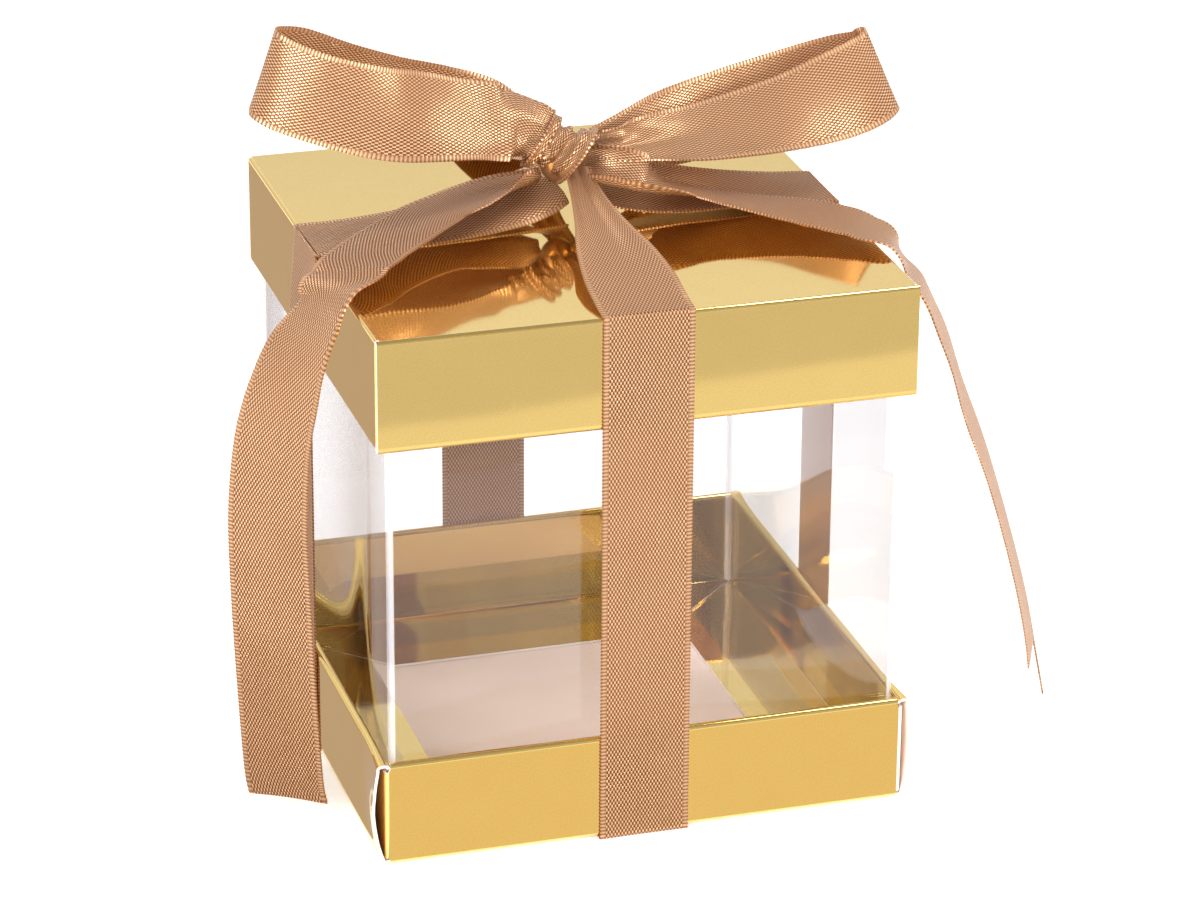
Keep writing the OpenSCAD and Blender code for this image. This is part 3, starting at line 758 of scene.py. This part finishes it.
rightLoop = [
    (0.1, -0.03, 0.12, -10, -145, 0.36), (0.18, -0.07, 0.075, -30, -125, 0.5),
    (0.244, -0.03, 0.07, -48, -95, 0.62), (0.343, -0.01, 0.085, -60, -55, 0.78),
    (0.442, -0.02, 0.12, -66, -25, 0.92), (0.613, -0.01, 0.23, -63, -8, 1),
    (0.792, -0.01, 0.39, -52, 0, 1), (0.95, 0.05, 0.58, -34, 0, 1), (1.05, 0.17, 0.72, -25, 0, 1),
    (1.1, 0.38, 0.8, -22, 0, 1), (1.085, 0.67, 0.73, -22, 0, 1), (0.985, 0.84, 0.6, -14, 0, 1),
    (0.795, 0.92, 0.32, -4, 0, 1), (0.563, 0.88, 0.06, 0, 0, 1), (0.339, 0.68, -0.1, 0, -60, 0.9),
    (0.17, 0.42, -0.03, 0, -120, 0.5), (0.1, 0.3, 0, 0, -140, 0.36)]

# the tails, in shares of the box's half sizes, then the height in lifts over the lid, or below its top as a
# share of the box's height, then roll, curl and width's share
leftTail = [
    (-0.115, 0.07, 0.64, 20, 145, 0.44), (-0.165, 0.065, 0.6, 18, 120, 0.7),
    (-0.261, 0.054, 0.525, 10, 60, 0.92), (-0.4, 0.02, 0.44, 6, 20, 1), (-0.532, -0.02, 0.347, 5, 10, 1),
    (-0.686, -0.13, 0.275, 5, 0, 1), (-0.844, -0.275, 0.215, 5, 0, 1), (-0.944, -0.395, 0.16, 4, 0, 1),
    (-1.037, -0.49, 0.03, -2, 0, 1), (-1.101, -0.53, -0.037, -9, 0, 1),
    (-1.151, -0.545, -0.076, -17, 0, 1), (-1.191, -0.54, -0.122, -25, 0, 1),
    (-1.221, -0.525, -0.176, -31, 0, 1), (-1.244, -0.51, -0.225, -35, 0, 1),
    (-1.265, -0.49, -0.3, -40, 0, 1), (-1.278, -0.47, -0.424, -44, 0, 1),
    (-1.273, -0.467, -0.561, -46, 0, 1), (-1.263, -0.48, -0.728, -46, 0, 1),
    (-1.245, -0.49, -0.911, -46, 0, 1), (-1.229, -0.5, -0.97, -46, 0, 1)]
rightTail = [
    (0.01, 0.055, 0.8, 60, -170, 0.36), (0.07, 0.015, 0.82, 52, -195, 0.56),
    (0.14, -0.05, 0.79, 34, -190, 0.76), (0.235, -0.115, 0.69, 12, -125, 0.88),
    (0.31, -0.125, 0.59, -3, -60, 0.95), (0.4, -0.125, 0.485, -9, -10, 1), (0.496, -0.15, 0.4, -9, 0, 1),
    (0.595, -0.195, 0.335, -8, 0, 1), (0.69, -0.245, 0.29, -6, 0, 1), (0.79, -0.305, 0.255, -3, 0, 1),
    (0.88, -0.37, 0.215, 0, 0, 1), (0.975, -0.445, 0.13, 3, 0, 1), (1.055, -0.52, -0.004, 7, 0, 1),
    (1.11, -0.575, -0.045, 11, 0, 1), (1.16, -0.62, -0.085, 15, 0, 1), (1.205, -0.65, -0.14, 17, 0, 1),
    (1.252, -0.665, -0.2, 18, 0, 1), (1.313, -0.667, -0.296, 19, 0, 1), (1.417, -0.667, -0.43, 19, 0, 1),
    (1.527, -0.667, -0.606, 20, 0, 1), (1.598, -0.667, -0.745, 22, 0, 1),
    (1.64, -0.667, -0.865, 25, 0, 1)]


def loopRows(table, rise):
    return [[x * bow["reach"], knotY + y * bow["open"], knotZ + z * rise, *rest] for x, y, z, *rest in table]


def tailRows(table):
    rows = []
    for x, y, z, *rest in table:
        height = box["height"] + z * bow["lift"] if z >= 0 else box["height"] * (1 + z)
        rows.append([x * halfW, y * halfD, height, *rest])
    return rows


def leftCut(share):
    return 0.4 * (1 + share)


def rightCut(share):
    # cut back aslant, with one edge thread pulled out past the end
    return 3.4 - 0.7 * (1 + share) - (7.5 if share > 0.95 else 0)


bowPieces = {
    "leftLoop": ("bow_left_loop", loopRows(leftLoop, bow["leftRise"]), (0, 0, 1), "gathered", None),
    "rightLoop": ("bow_right_loop", loopRows(rightLoop, bow["rightRise"]), (0, 0, 1), "gathered", None),
    "leftTail": ("bow_left_tail", tailRows(leftTail), (0, 1, 0), "hung", leftCut),
    "rightTail": ("bow_right_tail", tailRows(rightTail), (0, 1, 0), "hung", rightCut)}
for name, (node, rows, reference, held, cut) in bowPieces.items():
    made, length = ribbonPiece(name, [node], "lid", rows, reference, pleats=0.3, cut=cut)
    length * mm
    flatArea(length, 0.9)
    print(name, "is", round(length, 1), "mm long")

knot = {"middle": (-1.5, -0.9, 1.2), "axis": (0.88, -0.22, -0.42), "deep": 2.45, "tall": 2.85,
        "halfTurn": 170, "steps": 24, "curl": 112, "width": 0.56, "ridges": 3.4, "ridgeDepth": 0.8,
        "columns": 44, "step": 0.12, "core": 1.7, "coreShape": (1.3, 1.1, 1.7), "coreDrop": 1.2}


def makeKnot():
    # one gathered turn of ribbon round a tight core, its pleats slanting a little
    axis = Vector(knot["axis"]).normalized()
    up = (Vector((0, 0, 1)) - axis * axis.z).normalized()
    front = axis.cross(up)
    x, y, z = knot["middle"]
    middle = Vector((x, knotY + y, knotZ + z))
    rows = []
    for i in range(knot["steps"] + 1):
        a = math.radians(-knot["halfTurn"] + 2 * knot["halfTurn"] * i / knot["steps"])
        ring = front * math.cos(a) * knot["deep"] + up * math.sin(a) * knot["tall"]
        slant = axis * (math.sin(a) * 0.5 - math.cos(a) * 0.2)
        rows.append([*(middle + ring + slant), 0, knot["curl"], knot["width"] + 0.03 * math.sin(a)])
    made, length = ribbonPiece("bowKnot", [], "lid", rows, axis, 3.0, knot["ridgeDepth"], knot["ridges"],
                               step=knot["step"], columns=knot["columns"], sharp=True)
    bm = bmesh.new()
    bmesh.ops.create_icosphere(bm, subdivisions=4, radius=knot["core"] * mm)
    bmesh.ops.scale(bm, vec=knot["coreShape"], verts=bm.verts[:])
    bmesh.ops.translate(bm, vec=(settled(middle) - Vector((0, 0, knot["coreDrop"]))) * mm, verts=bm.verts[:])
    for face in bm.faces:
        face.smooth = True
    piece("knotCore", bm, [satin], "lid", ["bow_knot"])
    length * mm
    flatArea(length, 0.75)


makeKnot()

cross = {"at": -1, "half": 9, "ramp": 4, "pressed": 0.03}


def makeUnderCross():
    # two lengths crossing flat under the tray, the second one over the first
    t = ribbon["thick"]
    first, second = [], []
    for i in range(13):
        x = ribbon["frontX"] + (ribbon["backX"] - ribbon["frontX"]) * i / 12
        first.append([x, -halfD + box["depth"] * i / 12, t / 2, 0, 0, 1])
    leftY = ribbon["leftY"] + ribbon["lean"]
    for i in range(25):
        share = i / 24
        x = -halfW + box["width"] * share
        y = leftY + (ribbon["rightY"] - leftY) * share
        over = easeIn((cross["half"] - abs(x - cross["at"])) / cross["ramp"])
        second.append([x, y, t / 2 + (t - cross["pressed"]) * over, 0, 0, 1])
    one, length = ribbonPiece("underFrontBack", ["ribbon_under_cross"], "base", first, (1, 0, 0))
    length * mm
    two, length = ribbonPiece("underLeftRight", [], "base", second, (0, 1, 0))
    length * mm


makeUnderCross()
print("ribbon: tied")


# Floor, light and surroundings

# glowing cards just over the floor, which only reflections see, painting lighter and darker reflections into
# the gold foil: their glow, and their corners in millimetres
cardHeight = 0.5
reflectionCards = {"nearCard": ((0.86, 0.75, 0.60), [(-30.2, -30.2), (500, -30.2), (500, -62), (-30.2, -62)]),
         "brightCard": ((1.15, 1.13, 1.11), [(-60, -62), (500, -62), (500, -128), (-60, -128)]),
         "middleCard": ((0.94, 0.92, 0.93), [(-42, -128), (500, -128), (500, -192), (-42, -144)]),
         "frontCard": ((0.73, 0.715, 0.74), [(-42, -144), (500, -192), (500, -700), (-42, -700)]),
         "leftCard": ((0.54, 0.44, 0.37), [(-84, -30.2), (-30.2, -30.2), (-30.2, 100), (-60, 400),
                                           (-130, 400)])}

# square lamps that face the box: place and size in metres, and power
lamps = {"over": ((0.38, 0.03, 0.77), 0.3, 2.6), "left": ((-0.58, -0.52, 0.42), 0.4, 7.0),
         "right": ((0.66, -0.6, 0.3), 0.34, 6.8), "back": ((-0.2, 0.6, 0.7), 0.5, 2.0)}


def stagePiece(name, bm, paint):
    mesh = bpy.data.meshes.new(name)
    bm.to_mesh(mesh)
    bm.free()
    mesh.materials.append(paint)
    thing = bpy.data.objects.new(name, mesh)
    scene.collection.objects.link(thing)
    return thing


def makeFloor():
    # just below the ribbon, so that the two never share a plane
    f = Finish("paleFloor")
    soft = f.noise(14, 3.0)
    paint = f.close(f.out("ShaderNodeBsdfPrincipled", None, {
        "Base Color": f.mix(soft, (0.80, 0.80, 0.81), (0.83, 0.83, 0.84)), "Roughness": 0.45,
        "Specular IOR Level": 0.25, "Emission Color": (1.0, 1.0, 1.0), "Emission Strength": 0.4}))
    bm = bmesh.new()
    bmesh.ops.create_grid(bm, x_segments=4, y_segments=4, size=3)
    bmesh.ops.translate(bm, vec=(0, 0, -0.05 * mm), verts=bm.verts[:])
    stagePiece("floor", bm, paint)


def makeReflectionCards():
    for name, (glow, corners) in reflectionCards.items():
        f = Finish(name)
        soft = f.noise(9, 2.0)
        glows = f.mix(soft, tuple(0.95 * c for c in glow), tuple(1.05 * c for c in glow))
        paint = f.close(f.out("ShaderNodeBsdfPrincipled", None, {
            "Base Color": (0.0, 0.0, 0.0), "Roughness": 1.0, "Specular IOR Level": 0.0,
            "Emission Strength": 1.0, "Emission Color": glows}))
        bm = bmesh.new()
        bm.faces.new([bm.verts.new((x * mm, y * mm, cardHeight * mm)) for x, y in corners])
        card = stagePiece(name, bm, paint)
        # hidden from the camera, from shadows and from diffuse light, so that they only paint reflections
        card.visible_camera = card.visible_shadow = card.visible_diffuse = False


def makeLamps():
    aim = Vector((0, 0, 0.03))
    for name, (place, size, power) in lamps.items():
        data = bpy.data.lights.new(name, "AREA")
        data.size, data.energy = size, power
        lamp = bpy.data.objects.new(name, data)
        lamp.location = place
        lamp.rotation_euler = (aim - Vector(place)).to_track_quat("-Z", "Y").to_euler()
        scene.collection.objects.link(lamp)


def makeStudio():
    # white walls behind the box, dimmer ones at the camera's back and low down, and a grey ceiling
    w = Finish("studio", world=True)
    way = w.node("ShaderNodeSeparateXYZ", None, {0: w.out("ShaderNodeTexCoord", output="Generated")})
    up, ahead = Wire(w, way.outputs[2]), Wire(w, way.outputs[1])
    farWalls = w.mix(up.rise(0.3, 0.42), (0.78, 0.78, 0.78), (1.0, 1.0, 1.0))
    walls = w.mix(ahead.rise(-0.3, 0.3), (0.58, 0.57, 0.56), farWalls)
    shade = w.mix(up.rise(0.55, 0.72), walls, (0.42, 0.4, 0.38))
    scene.world = w.close(w.out("ShaderNodeBackground", None, {"Color": shade, "Strength": 1.0}))


makeFloor()
makeReflectionCards()
makeLamps()
makeStudio()
print("stage: set")
